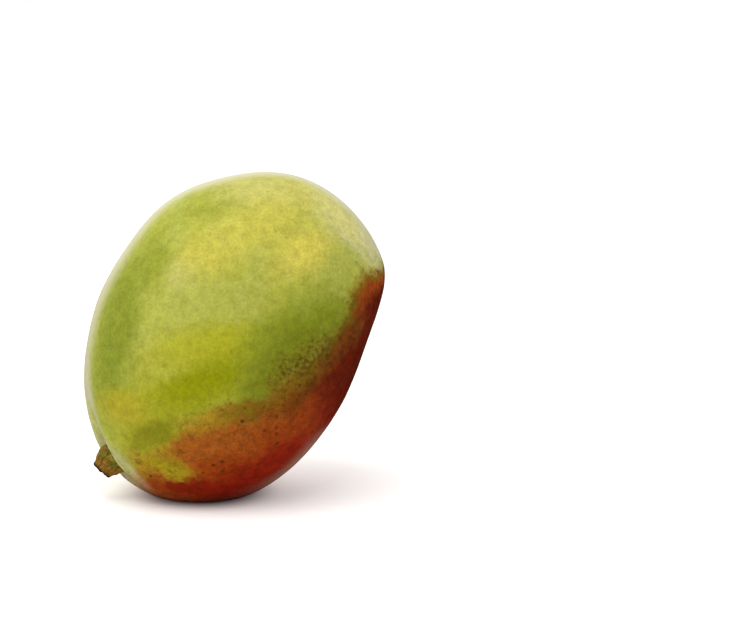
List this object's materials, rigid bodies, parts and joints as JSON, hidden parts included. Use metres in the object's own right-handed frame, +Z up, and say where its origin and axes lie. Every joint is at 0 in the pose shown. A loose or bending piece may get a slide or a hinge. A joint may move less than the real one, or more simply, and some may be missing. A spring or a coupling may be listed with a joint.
{
  "type": "mango",
  "caption": "Whole ripe mango, egg-shaped with flattened cheeks, a low beak and a short woody stem stub, leaning on a small flat rest spot.",
  "frame": {"origin": "on the surface that the fruit rests on, under the middle of its bounding box", "axes": "+Z up; the broad face looks along -Y; the stem end is low towards -X and the beak is high towards +X"},
  "size_m": [0.1062, 0.0836, 0.1142],
  "materials": {
    "skin": "satin waxy skin, yellow-green with a brick-red blush on the belly, pale and dark lenticel dots",
    "stem_wood": "dry olive-brown stem, matt, darker at the cut end"
  },
  "bodies": {
    "root": {"fruit": "skin", "stem": "stem_wood"}
  },
  "joints": []
}
